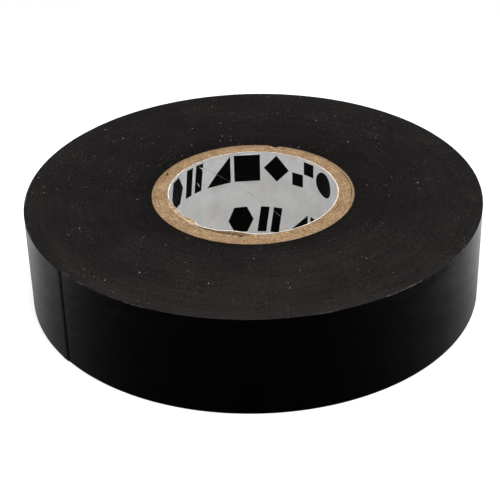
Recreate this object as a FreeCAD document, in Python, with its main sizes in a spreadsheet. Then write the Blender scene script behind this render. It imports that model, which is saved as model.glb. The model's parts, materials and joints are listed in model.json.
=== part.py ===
"""Electrical tape roll: PVC insulation tape wound on a spiral-wound kraft paper core.

Millimetres, +Z up.  The roll lies flat on its lower end face.  The origin is the
point where the bore axis meets that face, and Z is the winding axis.

How the real thing is built, from the inside out:
  core_liner        white printed paper, the innermost ply, its helical butt seam open a hair
  core_ply_1..5     kraft board plies of the spiral-wound tube, each with its own butt seam,
                    the seams staggered round the tube so that no two lie over each other
  tape_pack         every turn of the tape except the last, bonded to each other by the
                    adhesive, so they are one body.  Its outline is the last-but-one turn
                    of the spiral and ends in a step one tape thickness high
  outer_wrap        the last turn of tape, from the root of the free end round to that step
  free_end_1..6     the free end of the tape, 36 mm of PVC film, cut square.  It is stuck
                    down on the turn below and peels off outwards.  It is one flexible
                    strip, divided into short links so that it can curl as it peels.
                    The adhesive under it is the gap between film and pack.

The spiral is made of half circles whose centres alternate between +pitch/4 and
-pitch/4 along the line through the free end, so each half turn is tangent to the
next, every turn is exactly one pitch inside the one above it, and all faces are
true cylinders.
"""

import FreeCAD, Part

import os

import Sketcher

os.makedirs("parts", exist_ok=True)

V = FreeCAD.Vector
doc = FreeCAD.newDocument("electrical_tape_roll")

# ---------------------------------------------------------------- dimensions
sheet = doc.addObject("Spreadsheet::Sheet", "Dims")
sheet.Label = "Dims"

DIMENSIONS = [
    # alias, value, meaning
    ("tape_width", 19.0, "slit width of tape and core, also the height of the roll as it lies"),
    ("roll_radius", 42.1, "outside of the last turn, at the free end"),
    ("turn_pitch", 0.135, "one turn of tape: film plus adhesive"),
    ("film_thickness", 0.11, "PVC film without its adhesive"),
    ("bore_radius", 15.6, "inside of the liner"),
    ("liner_thickness", 0.15, "printed white paper"),
    ("ply_thickness", 0.6, "kraft board, each ply"),
    ("seam_opening", 0.3, "height of the butt gap between the edges of one ply"),
    ("outer_seam_opening", 0.5, "the same on the outermost ply, which is stretched the most"),
    ("liner_seam_opening", 0.08, "the same on the liner, which is laid edge to edge"),
    ("seam_lead", 78.0, "axial advance of a ply in one full turn round the tube"),
    ("seam_overrun", 3.0, "how far the seam cut runs past each end face"),
    ("liner_seam_turn", 32.8, "where the liner's seam starts, from +X, at the bottom of its cut"),
    ("seam_turn_one", 160.0, "the same for ply 1, the innermost board"),
    ("seam_turn_two", 217.0, "the same for ply 2"),
    ("seam_turn_three", 286.0, "the same for ply 3"),
    ("seam_turn_four", 53.5, "the same for ply 4"),
    ("seam_turn_five", 335.0, "the same for ply 5, the outermost board"),
    ("free_end_angle", 218.3, "where the tape is cut, from +X, seen from above"),
    ("link_length", 3.0, "length of one link of the free end, along the tape"),
    ("link_gap", 0.04, "play between one link and the next"),
]
for row, (alias, value, meaning) in enumerate(DIMENSIONS, start=1):
    sheet.set("A%d" % row, alias)
    sheet.set("B%d" % row, "%g" % value)
    sheet.set("C%d" % row, meaning)
    sheet.setAlias("B%d" % row, alias)
doc.recompute()

N_PLIES = 5
N_LINKS = 12
DEG = "57.29577951308232"  # degrees in a radian, for the sheet's expressions

# lengths and angles that several features share, as expressions on the sheet
CENTRE_SHIFT = "Dims.turn_pitch / 4"
LINK_ARC_RADIUS = "(Dims.roll_radius - Dims.turn_pitch / 4)"
LINK_ANGLE = "(Dims.link_length / %s * %s)" % (LINK_ARC_RADIUS, DEG)
GAP_ANGLE = "(Dims.link_gap / %s * %s)" % (LINK_ARC_RADIUS, DEG)


def origin_plane(body, role):
    for feature in body.Origin.OriginFeatures:
        if feature.Role == role:
            return feature
    raise RuntimeError("no plane " + role)


def new_sketch(body, name, role):
    sketch = body.newObject("Sketcher::SketchObject", name)
    sketch.AttachmentSupport = [(origin_plane(body, role), "")]
    sketch.MapMode = "FlatFace"
    return sketch


def bind(sketch, constraint, expression):
    """Names a constraint and drives it from the sheet."""
    index, name = constraint
    sketch.renameConstraint(index, name)
    sketch.setExpression("Constraints." + name, expression)


def ring_pad(body, name, inner, outer):
    """A tube, from two concentric circles padded to the tape's width."""
    sketch = new_sketch(body, name + "_section", "XY_Plane")
    for k, (start, expression, label) in enumerate(
        ((15.0, inner, "inner_radius"), (16.0, outer, "outer_radius"))
    ):
        sketch.addGeometry(Part.Circle(V(0, 0, 0), V(0, 0, 1), start), False)
        sketch.addConstraint(Sketcher.Constraint("Coincident", k, 3, -1, 1))
        c = sketch.addConstraint(Sketcher.Constraint("Radius", k, start))
        bind(sketch, (c, label), expression)
    pad = body.newObject("PartDesign::Pad", name + "_pad")
    pad.Profile = sketch
    pad.setExpression("Length", "Dims.tape_width")
    return pad


def rectangle(sketch, x0, x1, z0, z1, names):
    """A rectangle in a vertical sketch, fully constrained: names holds the expressions of
    its left, right, bottom and top as signed distances from the origin."""
    pts = [(x0, z0), (x1, z0), (x1, z1), (x0, z1)]
    first = sketch.GeometryCount
    for k in range(4):
        a, b = pts[k], pts[(k + 1) % 4]
        sketch.addGeometry(Part.LineSegment(V(a[0], a[1], 0), V(b[0], b[1], 0)), False)
    for k in range(4):
        sketch.addConstraint(
            Sketcher.Constraint("Coincident", first + k, 2, first + (k + 1) % 4, 1)
        )
    sketch.addConstraint(Sketcher.Constraint("Horizontal", first))
    sketch.addConstraint(Sketcher.Constraint("Horizontal", first + 2))
    sketch.addConstraint(Sketcher.Constraint("Vertical", first + 1))
    sketch.addConstraint(Sketcher.Constraint("Vertical", first + 3))
    placed = (
        ("DistanceX", first, 1, x0, "left"),
        ("DistanceX", first, 2, x1, "right"),
        ("DistanceY", first, 1, z0, "bottom"),
        ("DistanceY", first + 2, 1, z1, "top"),
    )
    for kind, geometry, point, value, label in placed:
        if names[label] is None:  # on the axis itself
            sketch.addConstraint(Sketcher.Constraint("PointOnObject", geometry, point, -1))
            continue
        c = sketch.addConstraint(Sketcher.Constraint(kind, -1, 1, geometry, point, value))
        bind(sketch, (c, label), names[label])
    return first


def seam_cut(body, name, inner, outer, opening, start_inner, start_outer):
    """The butt seam of one spiral-wound ply: a narrow right-handed helical slot through its wall."""
    sketch = new_sketch(body, name + "_seam_section", "XZ_Plane")
    rectangle(
        sketch,
        start_inner - 0.1,
        start_outer + 0.1,
        -3.0,
        -2.8,
        {
            "left": inner + " - 0.1",
            "right": outer + " + 0.1",
            "bottom": "-Dims.seam_overrun",
            "top": "-Dims.seam_overrun + " + opening,
        },
    )
    doc.recompute()
    whole = body.Shape.Volume
    helix = body.newObject("PartDesign::SubtractiveHelix", name + "_seam")
    helix.Profile = sketch
    helix.ReferenceAxis = (sketch, ["V_Axis"])
    helix.Mode = 0  # pitch, height and cone angle
    helix.setExpression("Pitch", "Dims.seam_lead")
    helix.setExpression("Height", "Dims.tape_width + 2 * Dims.seam_overrun")
    helix.Angle = 0
    doc.recompute()
    cut = whole - helix.Shape.Volume
    if not 0.1 < cut < 20:
        raise RuntimeError("%s: the seam took %.3f mm3" % (name, cut))
    return helix


# -------------------------------------------------------------------- core
bodies = []


def add_ply(label, inner, outer, opening, turn, start_inner, start_outer):
    body = doc.addObject("PartDesign::Body", label)
    body.Label = label
    ring_pad(body, label, inner, outer)
    doc.recompute()
    seam_cut(body, label, inner, outer, opening, start_inner, start_outer)
    body.Placement = FreeCAD.Placement(V(0, 0, 0), FreeCAD.Rotation(V(0, 0, 1), 10))
    body.setExpression("Placement.Rotation.Angle", turn)
    bodies.append(body)
    return body


bore = 15.6
add_ply(
    "core_liner",
    "Dims.bore_radius",
    "Dims.bore_radius + Dims.liner_thickness",
    "Dims.liner_seam_opening",
    "Dims.liner_seam_turn",
    bore,
    bore + 0.15,
)
SEAM_TURNS = ("one", "two", "three", "four", "five")  # staggered round the tube
for k in range(N_PLIES):
    lower = "Dims.bore_radius + Dims.liner_thickness + %d * Dims.ply_thickness" % k
    upper = "Dims.bore_radius + Dims.liner_thickness + %d * Dims.ply_thickness" % (k + 1)
    add_ply(
        "core_ply_%d" % (k + 1),
        lower,
        upper,
        "Dims.seam_opening" if k < N_PLIES - 1 else "Dims.outer_seam_opening",
        "Dims.seam_turn_" + SEAM_TURNS[k],
        bore + 0.15 + 0.6 * k,
        bore + 0.75 + 0.6 * k,
    )
CORE_RADIUS = "(Dims.bore_radius + Dims.liner_thickness + %d * Dims.ply_thickness)" % N_PLIES

# --------------------------------------------------------------- tape pack
# Drawn with the free end on its local +X axis, then turned to the free end's angle.
pack = doc.addObject("PartDesign::Body", "tape_pack")
pack.Label = "tape_pack"
sk = new_sketch(pack, "pack_section", "XY_Plane")
R, P = 42.1, 0.135
sk.addGeometry(
    Part.ArcOfCircle(
        Part.Circle(V(P / 4, 0, 0), V(0, 0, 1), R - 5 * P / 4), 3.141592653589793, 6.283185307179586
    ),
    False,
)  # 0: the half turn below the free end
sk.addGeometry(
    Part.ArcOfCircle(
        Part.Circle(V(-P / 4, 0, 0), V(0, 0, 1), R - 7 * P / 4), 0.0, 3.141592653589793
    ),
    False,
)  # 1: the half turn after it
sk.addGeometry(Part.LineSegment(V(R - P, 0, 0), V(R - 2 * P, 0, 0)), False)  # 2: the step
sk.addGeometry(Part.Circle(V(0, 0, 0), V(0, 0, 1), 18.75), False)  # 3: round the core
sk.addConstraint(Sketcher.Constraint("Coincident", 0, 1, 1, 2))
sk.addConstraint(Sketcher.Constraint("Coincident", 0, 2, 2, 1))
sk.addConstraint(Sketcher.Constraint("Coincident", 1, 1, 2, 2))
sk.addConstraint(Sketcher.Constraint("PointOnObject", 0, 3, -1))
sk.addConstraint(Sketcher.Constraint("PointOnObject", 1, 3, -1))
sk.addConstraint(Sketcher.Constraint("PointOnObject", 0, 1, -1))
sk.addConstraint(Sketcher.Constraint("PointOnObject", 0, 2, -1))
sk.addConstraint(Sketcher.Constraint("PointOnObject", 1, 1, -1))
c = sk.addConstraint(Sketcher.Constraint("DistanceX", -1, 1, 0, 3, P / 4))
bind(sk, (c, "first_centre"), CENTRE_SHIFT)
c = sk.addConstraint(Sketcher.Constraint("DistanceX", 1, 3, -1, 1, P / 4))
bind(sk, (c, "second_centre"), CENTRE_SHIFT)
c = sk.addConstraint(Sketcher.Constraint("Radius", 0, R - 5 * P / 4))
bind(sk, (c, "first_radius"), "Dims.roll_radius - 5 * Dims.turn_pitch / 4")
sk.addConstraint(Sketcher.Constraint("Coincident", 3, 3, -1, 1))
c = sk.addConstraint(Sketcher.Constraint("Radius", 3, 18.75))
bind(sk, (c, "core_radius"), CORE_RADIUS)
pad = pack.newObject("PartDesign::Pad", "pack_pad")
pad.Profile = sk
pad.setExpression("Length", "Dims.tape_width")
pack.Placement = FreeCAD.Placement(V(0, 0, 0), FreeCAD.Rotation(V(0, 0, 1), 218.3))
pack.setExpression("Placement.Rotation.Angle", "Dims.free_end_angle")
bodies.append(pack)

# -------------------------------------------------------------- outer wrap
# Its section is swept both ways from the far side of the roll: towards the root of the
# free end about the first centre, and round to the step about the second.
wrap = doc.addObject("PartDesign::Body", "outer_wrap")
wrap.Label = "outer_wrap"


def wrap_sweep(name, axis_x, axis_expression, angle, angle_expression, reverse):
    sketch = new_sketch(wrap, name + "_section", "XZ_Plane")
    rectangle(
        sketch,
        -(R - P / 2),
        -(R - 3 * P / 2),
        0.0,
        19.0,
        {
            "left": "-(Dims.roll_radius - Dims.turn_pitch / 2)",
            "right": "-(Dims.roll_radius - 3 * Dims.turn_pitch / 2)",
            "bottom": None,
            "top": "Dims.tape_width",
        },
    )
    line = sketch.addGeometry(Part.LineSegment(V(axis_x, 0, 0), V(axis_x, 19, 0)), True)
    sketch.addConstraint(Sketcher.Constraint("Vertical", line))
    sketch.addConstraint(Sketcher.Constraint("PointOnObject", line, 1, -1))
    k = sketch.addConstraint(Sketcher.Constraint("DistanceX", -1, 1, line, 1, axis_x))
    bind(sketch, (k, "axis_place"), axis_expression)
    k = sketch.addConstraint(Sketcher.Constraint("DistanceY", line, 1, line, 2, 19.0))
    bind(sketch, (k, "axis_length"), "Dims.tape_width")
    turn = wrap.newObject("PartDesign::Revolution", name)
    turn.Profile = sketch
    turn.ReferenceAxis = (sketch, ["Axis0"])
    turn.Angle = angle
    turn.setExpression("Angle", angle_expression)
    turn.Reversed = reverse
    doc.recompute()
    return turn


wrap_sweep(
    "wrap_to_root", P / 4, CENTRE_SHIFT, 130.0, "180 - %d * %s" % (N_LINKS, LINK_ANGLE), False
)
wrap_sweep("wrap_to_step", -P / 4, "-" + CENTRE_SHIFT, 180.0, "180", True)
wrap.Placement = FreeCAD.Placement(V(0, 0, 0), FreeCAD.Rotation(V(0, 0, 1), 218.3))
wrap.setExpression("Placement.Rotation.Angle", "Dims.free_end_angle")
bodies.append(wrap)

# ---------------------------------------------------------------- free end
# Link 1 is at the root and link 12 carries the cut edge.  Each is a piece of film swept
# about the first centre of the spiral, and stands off the pack by the adhesive's thickness.
for k in range(1, N_LINKS + 1):
    link = doc.addObject("PartDesign::Body", "free_end_%d" % k)
    link.Label = "free_end_%d" % k
    sketch = new_sketch(link, "free_end_%d_section" % k, "XZ_Plane")
    rectangle(
        sketch,
        R - P / 4 - 0.11,
        R - P / 4,
        0.0,
        19.0,
        {
            "left": LINK_ARC_RADIUS + " - Dims.film_thickness",
            "right": LINK_ARC_RADIUS,
            "bottom": None,
            "top": "Dims.tape_width",
        },
    )
    turn = link.newObject("PartDesign::Revolution", "free_end_%d_sweep" % k)
    turn.Profile = sketch
    turn.ReferenceAxis = (sketch, ["V_Axis"])
    turn.Angle = 4.0
    turn.setExpression("Angle", "%s - %s" % (LINK_ANGLE, GAP_ANGLE))
    link.Placement = FreeCAD.Placement(V(0.01, 0.01, 0), FreeCAD.Rotation(V(0, 0, 1), 200.0))
    link.setExpression(
        "Placement.Base.x", "%s * cos(Dims.free_end_angle * 1deg)" % CENTRE_SHIFT
    )
    link.setExpression(
        "Placement.Base.y", "%s * sin(Dims.free_end_angle * 1deg)" % CENTRE_SHIFT
    )
    link.setExpression(
        "Placement.Rotation.Angle",
        "Dims.free_end_angle - %d * %s + %s" % (N_LINKS + 1 - k, LINK_ANGLE, GAP_ANGLE),
    )
    bodies.append(link)

doc.recompute()

# ------------------------------------------------------------ check, write
for thing in doc.Objects:
    bad = [s for s in thing.State if s in ("Invalid", "Error")]
    if bad:
        raise RuntimeError("%s is %s" % (thing.Name, bad))
for body in bodies:
    shape = body.Shape
    if shape.isNull() or not shape.isValid() or len(shape.Solids) != 1 or shape.Volume <= 0:
        raise RuntimeError(body.Label + " isn't one valid solid")
for body in bodies:
    body.Shape.exportStep("parts/%s.step" % body.Label)
    centre = body.Shape.CenterOfGravity
    print(
        "%-14s %10.3f mm3  centre %8.3f %8.3f %7.3f"
        % (body.Label, body.Shape.Volume, centre.x, centre.y, centre.z)
    )
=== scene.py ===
import json
import math

import bpy
import numpy as np
from mathutils import Matrix, Vector
from mathutils.geometry import delaunay_2d_cdt

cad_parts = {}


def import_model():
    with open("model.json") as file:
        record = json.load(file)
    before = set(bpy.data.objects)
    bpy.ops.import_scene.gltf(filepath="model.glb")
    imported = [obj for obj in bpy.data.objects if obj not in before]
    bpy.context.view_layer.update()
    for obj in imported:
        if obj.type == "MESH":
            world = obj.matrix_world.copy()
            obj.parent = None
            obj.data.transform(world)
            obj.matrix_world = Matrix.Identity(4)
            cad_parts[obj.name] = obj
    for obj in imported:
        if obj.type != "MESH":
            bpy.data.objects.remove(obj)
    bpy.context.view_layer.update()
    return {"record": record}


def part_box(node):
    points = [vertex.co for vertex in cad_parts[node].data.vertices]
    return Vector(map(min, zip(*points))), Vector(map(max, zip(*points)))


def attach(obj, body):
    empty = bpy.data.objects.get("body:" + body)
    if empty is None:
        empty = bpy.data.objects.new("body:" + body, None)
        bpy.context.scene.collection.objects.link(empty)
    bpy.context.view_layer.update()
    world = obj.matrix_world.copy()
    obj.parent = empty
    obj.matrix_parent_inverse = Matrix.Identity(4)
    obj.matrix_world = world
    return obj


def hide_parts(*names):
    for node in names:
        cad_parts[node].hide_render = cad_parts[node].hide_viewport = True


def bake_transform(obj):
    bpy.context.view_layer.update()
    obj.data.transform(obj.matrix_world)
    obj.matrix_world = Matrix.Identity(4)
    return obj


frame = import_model()

# ---------------------------------------------------------------------------
# Sizes of the winding, in millimetres and degrees, as the CAD model states them
# ---------------------------------------------------------------------------
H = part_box("tape_pack")[1][2] * 1000.0
R_ROLL = 42.1            # nominal outside radius at the free end
PITCH = 0.135            # radial growth per turn
FILM = 0.11              # film thickness without adhesive
END_ANGLE = 218.3        # where the strip's cut end lies
R_LINER_IN = 15.6
R_LINER_OUT = 15.75
PLY = 0.6
R_CORE_OUT = R_LINER_OUT + 5 * PLY
SEAM_LEAD = 78.0
SEAM_TURN = {"core_liner": 32.8, "core_ply_1": 160.0, "core_ply_2": 217.0,
             "core_ply_3": 286.0, "core_ply_4": 53.5, "core_ply_5": 335.0}
LINKS = 12
LINK_LENGTH = 3.0
LINK_GAP = 0.04
RA = R_ROLL - PITCH / 4.0
LINK_DEG = math.degrees(LINK_LENGTH / RA)
GAP_DEG = math.degrees(LINK_GAP / RA)
C1 = np.array([math.cos(math.radians(END_ANGLE)), math.sin(math.radians(END_ANGLE))]) * PITCH / 4.0
C2 = -C1
JOINTS = {j["name"]: j for j in frame["record"]["behaviour"]["joints"]}


# ---------------------------------------------------------------------------
# Seeded noise, so that every run gives the same surface
# ---------------------------------------------------------------------------
def hash01(n, seed):
    n = np.asarray(n, dtype=np.int64)
    x = (n * 374761393 + seed * 668265263 + 1274126177) & 0x7FFFFFFF
    x = ((x ^ (x >> 13)) * 1274126177) & 0x7FFFFFFF
    x = ((x ^ (x >> 16)) * 2246822519) & 0x7FFFFFFF
    return ((x ^ (x >> 15)) & 0xFFFFFF) / float(0xFFFFFF)


def noise1(t, seed, period=None):
    """Smooth value noise from -1 to 1 on a line; period wraps it round."""
    t = np.asarray(t, dtype=float)
    i = np.floor(t).astype(np.int64)
    f = t - i
    j = i + 1
    if period:
        i = np.mod(i, period)
        j = np.mod(j, period)
    w = f * f * (3 - 2 * f)
    return 2 * (hash01(i, seed) * (1 - w) + hash01(j, seed) * w) - 1


def noise2(u, v, seed, period=None):
    """Smooth value noise from -1 to 1 on a plane; period wraps u."""
    u = np.asarray(u, dtype=float)
    v = np.asarray(v, dtype=float)
    i = np.floor(u).astype(np.int64)
    k = np.floor(v).astype(np.int64)
    fu = u - i
    fv = v - k
    j = i + 1
    if period:
        i = np.mod(i, period)
        j = np.mod(j, period)
    wu = fu * fu * (3 - 2 * fu)
    wv = fv * fv * (3 - 2 * fv)
    a = hash01(i + 7919 * k, seed)
    b = hash01(j + 7919 * k, seed)
    c = hash01(i + 7919 * (k + 1), seed)
    d = hash01(j + 7919 * (k + 1), seed)
    return 2 * ((a * (1 - wu) + b * wu) * (1 - wv) + (c * (1 - wu) + d * wu) * wv) - 1


def smoothstep(x, a, b):
    t = np.clip((np.asarray(x, dtype=float) - a) / (b - a), 0, 1)
    return t * t * (3 - 2 * t)


def wrap_deg(a):
    """An angle difference brought to -180..180."""
    return (np.asarray(a, dtype=float) + 180.0) % 360.0 - 180.0


# ---------------------------------------------------------------------------
# Mesh helpers
# ---------------------------------------------------------------------------
def build(name, verts, faces, materials, index=None, sharp=35.0, uvs=None):
    me = bpy.data.meshes.new(name)
    me.from_pydata((np.asarray(verts, dtype=float) * 0.001).tolist(), [], faces)
    for m in materials:
        me.materials.append(m)
    if index is not None:
        me.polygons.foreach_set("material_index", np.asarray(index, dtype=np.int32))
    me.polygons.foreach_set("use_smooth", [True] * len(me.polygons))
    me.update()
    if sharp:
        me.set_sharp_from_angle(angle=math.radians(sharp))
    ob = bpy.data.objects.new(name, me)
    bpy.context.scene.collection.objects.link(ob)
    if me.validate(verbose=False):
        print("mesh repaired:", name)
    return ob


def grid_quads(nu, nv, base=0, closed_u=False, closed_v=False, flip=False):
    """Quads of a grid whose vertex (u, v) is base + u * nv + v."""
    uu = nu if closed_u else nu - 1
    vv = nv if closed_v else nv - 1
    u = np.arange(uu)[:, None]
    v = np.arange(vv)[None, :]
    u2 = (u + 1) % nu
    v2 = (v + 1) % nv
    a = base + u * nv + v
    b = base + u2 * nv + v
    c = base + u2 * nv + v2
    d = base + u * nv + v2
    q = np.stack([a, b, c, d], -1).reshape(-1, 4)
    if flip:
        q = q[:, ::-1]
    return q.tolist()


# ---------------------------------------------------------------------------
# Materials
# ---------------------------------------------------------------------------
class Nodes:
    """Shorthand for building a node tree."""

    def __init__(self, tree):
        self.t = tree
        self.n = tree.nodes
        self.n.clear()

    def add(self, kind, inputs=None, **props):
        node = self.n.new(kind)
        for key, value in props.items():
            setattr(node, key, value)
        for key, value in (inputs or {}).items():
            self.feed(node.inputs[key], value)
        return node

    def feed(self, socket, value):
        if isinstance(value, bpy.types.NodeSocket):
            self.t.links.new(value, socket)
        else:
            socket.default_value = value

    def math(self, op, a, b=None, c=None, clamp=False):
        node = self.n.new("ShaderNodeMath")
        node.operation = op
        node.use_clamp = clamp
        for i, v in enumerate((a, b, c)):
            if v is not None:
                self.feed(node.inputs[i], v)
        return node.outputs[0]

    def vec(self, op, a, b=None, scale=None):
        node = self.n.new("ShaderNodeVectorMath")
        node.operation = op
        self.feed(node.inputs[0], a)
        if b is not None:
            self.feed(node.inputs[1], b)
        if scale is not None:
            self.feed(node.inputs["Scale"], scale)
        return node.outputs[0]

    def xyz(self, v):
        node = self.n.new("ShaderNodeSeparateXYZ")
        self.t.links.new(v, node.inputs[0])
        return node.outputs

    def join(self, x, y, z):
        node = self.n.new("ShaderNodeCombineXYZ")
        for i, v in enumerate((x, y, z)):
            self.feed(node.inputs[i], v)
        return node.outputs[0]

    def noise(self, v, scale, detail=2.0, rough=0.5, out="Fac"):
        node = self.n.new("ShaderNodeTexNoise")
        self.t.links.new(v, node.inputs["Vector"])
        node.inputs["Scale"].default_value = scale
        node.inputs["Detail"].default_value = detail
        node.inputs["Roughness"].default_value = rough
        return node.outputs[out]

    def ramp(self, fac, stops, mode="LINEAR"):
        node = self.n.new("ShaderNodeValToRGB")
        node.color_ramp.interpolation = mode
        el = node.color_ramp.elements
        el.remove(el[1])
        for n, (p, c) in enumerate(stops):
            e = el[0] if n == 0 else el.new(p)
            e.position = p
            e.color = (c[0], c[1], c[2], 1.0) if isinstance(c, (tuple, list)) else (c, c, c, 1.0)
        self.feed(node.inputs[0], fac)
        return node.outputs[0]

    def mix(self, fac, a, b):
        node = self.n.new("ShaderNodeMix")
        node.data_type = "RGBA"
        self.feed(node.inputs["Factor"], fac)
        for s, v in (("A", a), ("B", b)):
            sock = [i for i in node.inputs if i.name == s and i.type == "RGBA"][0]
            if isinstance(v, tuple):
                v = (v[0], v[1], v[2], 1.0)
            self.feed(sock, v)
        return [o for o in node.outputs if o.type == "RGBA"][0]

    def remap(self, v, a, b, c, d):
        node = self.n.new("ShaderNodeMapRange")
        for i, x in enumerate((v, a, b, c, d)):
            self.feed(node.inputs[i], x)
        return node.outputs[0]

    def bump(self, height, strength, distance, normal=None):
        node = self.n.new("ShaderNodeBump")
        node.inputs["Strength"].default_value = strength
        node.inputs["Distance"].default_value = distance
        self.feed(node.inputs["Height"], height)
        if normal is not None:
            self.t.links.new(normal, node.inputs["Normal"])
        return node.outputs[0]


def material(name, **shader):
    m = bpy.data.materials.new(name)
    m.use_nodes = True
    k = Nodes(m.node_tree)
    out = k.add("ShaderNodeOutputMaterial")
    bsdf = k.add("ShaderNodeBsdfPrincipled")
    k.t.links.new(bsdf.outputs[0], out.inputs[0])
    for key, value in shader.items():
        bsdf.inputs[key.replace("_", " ")].default_value = value
    coord = k.add("ShaderNodeTexCoord").outputs["Object"]
    mm = k.vec("SCALE", coord, scale=1000.0)
    return m, k, bsdf, mm


def polar(k, mm):
    """Radius in mm, angle in turns and height in mm of the shading point."""
    x, y, z = k.xyz(mm)
    r = k.math("SQRT", k.math("ADD", k.math("MULTIPLY", x, x), k.math("MULTIPLY", y, y)))
    a = k.math("DIVIDE", k.math("ARCTAN2", y, x), 2 * math.pi)
    return r, a, x, y, z


def rim_scuff_and_glint(k, mm):
    """Where the outer rims are pale: handling scuffs that also serve as painted highlight along the rim, and a softer
    mask round it.
    """
    r, a, x, y, z = polar(k, mm)
    top = k.remap(z, H - 0.22, H - 0.03, 0.0, 1.0)
    low = k.remap(z, 0.03, 0.16, 1.0, 0.0)
    out = k.remap(r, R_ROLL - 0.36, R_ROLL - 0.16, 0.0, 1.0)
    near = k.math("MULTIPLY", k.math("MAXIMUM", top, low), out)
    patch = k.noise(mm, 0.13, 1.0, 0.5)
    chip = k.noise(mm, 2.6, 3.0, 0.7)
    v = k.math("ADD", k.math("MULTIPLY", patch, 0.9), k.math("MULTIPLY", chip, 0.6))
    return (k.math("MULTIPLY", near, k.remap(v, 0.80, 0.90, 0.0, 1.0)),
            k.math("MULTIPLY", near, k.remap(v, 0.66, 0.86, 0.0, 1.0)))


def tape_face_material():
    """The slit end face of the wound strip: matte black, fine turn lines, dust."""
    m, k, bsdf, mm = material("black_tape_slit_face", Roughness=0.62, IOR=1.5)
    bsdf.inputs["Specular IOR Level"].default_value = 0.06
    r, a, x, y, z = polar(k, mm)
    turn = k.math("MULTIPLY", a, 2 * math.pi)
    ca, sa = k.math("COSINE", turn), k.math("SINE", turn)
    # winding lines, one to a turn, and broader bands and streaks that follow the turns
    lines = k.noise(k.join(k.math("MULTIPLY", r, 7.4), k.math("MULTIPLY", ca, 1.6), k.math("MULTIPLY", sa, 1.6)), 1.0, 2.0, 0.55)
    streak = k.noise(k.join(k.math("MULTIPLY", r, 2.9), k.math("MULTIPLY", ca, 7.0), k.math("MULTIPLY", sa, 7.0)), 1.0, 3.0, 0.6)
    broad = k.noise(k.join(k.math("MULTIPLY", r, 0.8), k.math("MULTIPLY", ca, 0.9), k.math("MULTIPLY", sa, 0.9)), 1.0, 2.0)
    grain = k.noise(mm, 6.5, 3.0, 0.65)
    mottle = k.noise(mm, 2.1, 2.0, 0.6)
    cloud = k.noise(mm, 0.10, 2.0, 0.5)
    shade = k.math("ADD", k.math("MULTIPLY", lines, 0.16), k.math("MULTIPLY", grain, 0.62))
    shade = k.math("ADD", shade, k.math("MULTIPLY", mottle, 0.70))
    shade = k.math("ADD", shade, k.math("MULTIPLY", streak, 0.26))
    shade = k.math("ADD", shade, k.math("MULTIPLY", broad, 0.28))
    shade = k.math("ADD", shade, k.math("MULTIPLY", cloud, 0.40))
    shade = k.math("ADD", shade, k.remap(r, 19.0, 41.0, -0.12, 0.07))
    shade = k.math("ADD", shade, k.remap(r, 18.8, 25.0, -0.14, 0.0))
    # painted sheen: the front part of the face is made paler
    painted_front_sheen = k.math("MULTIPLY", k.remap(y, -6.0, -22.0, 0.0, 1.0), k.remap(k.math("ABSOLUTE", k.math("SUBTRACT", x, 3.0)), 10.0, 32.0, 1.0, 0.25))
    shade = k.math("ADD", shade, k.math("MULTIPLY", painted_front_sheen, 0.15))
    base = k.ramp(k.remap(shade, 0.89, 1.53, 0.0, 1.0),
                  [(0.0, (0.0036, 0.0030, 0.0029)), (0.5, (0.0084, 0.0072, 0.0070)), (1.0, (0.0190, 0.0168, 0.0162))])
    # dust: small pale specks of several sizes, seldom and uneven
    patch = k.noise(mm, 0.15, 2.0, 0.6)
    drift = k.remap(k.math("ADD", patch, k.remap(y, -10.0, 36.0, 0.0, 0.07)), 0.44, 0.66, -0.16, 0.30)
    col = base
    for scale, small, large, share, tone in ((0.52, 0.024, 0.082, 0.90, (0.30, 0.285, 0.26)),
                                             (1.15, 0.035, 0.105, 0.86, (0.15, 0.14, 0.125)),
                                             (2.3, 0.08, 0.17, 0.78, (0.060, 0.055, 0.050))):
        cell = k.add("ShaderNodeTexVoronoi", inputs={"Vector": mm, "Scale": scale, "Randomness": 1.0}, feature="F1", voronoi_dimensions="2D")
        rnd = k.xyz(cell.outputs["Color"])
        size = k.remap(k.math("POWER", rnd[1], 2.0), 0.0, 1.0, small, large)
        dist = k.math("ADD", cell.outputs["Distance"], k.math("MULTIPLY", k.math("SUBTRACT", grain, 0.5), scale * 0.12))
        near = k.math("LESS_THAN", dist, size)
        keep = k.math("GREATER_THAN", k.math("ADD", rnd[0], drift), share)
        weight = k.math("MULTIPLY", k.math("MULTIPLY", near, keep), k.remap(rnd[2], 0.0, 1.0, 0.35, 1.0))
        col = k.mix(weight, col, tone)
    scuff_and_glint, _ = rim_scuff_and_glint(k, mm)
    # pale rim scuffs, which also stand in for painted highlight along the rim
    col = k.mix(scuff_and_glint, col, (0.10, 0.094, 0.088))
    k.feed(bsdf.inputs["Base Color"], col)
    k.feed(bsdf.inputs["Roughness"], k.remap(grain, 0.3, 0.7, 0.56, 0.70))
    h = k.math("ADD", k.math("MULTIPLY", lines, 0.7), k.math("MULTIPLY", grain, 0.6))
    k.feed(bsdf.inputs["Normal"], k.bump(h, 0.35, 0.000035))
    return m


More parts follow.
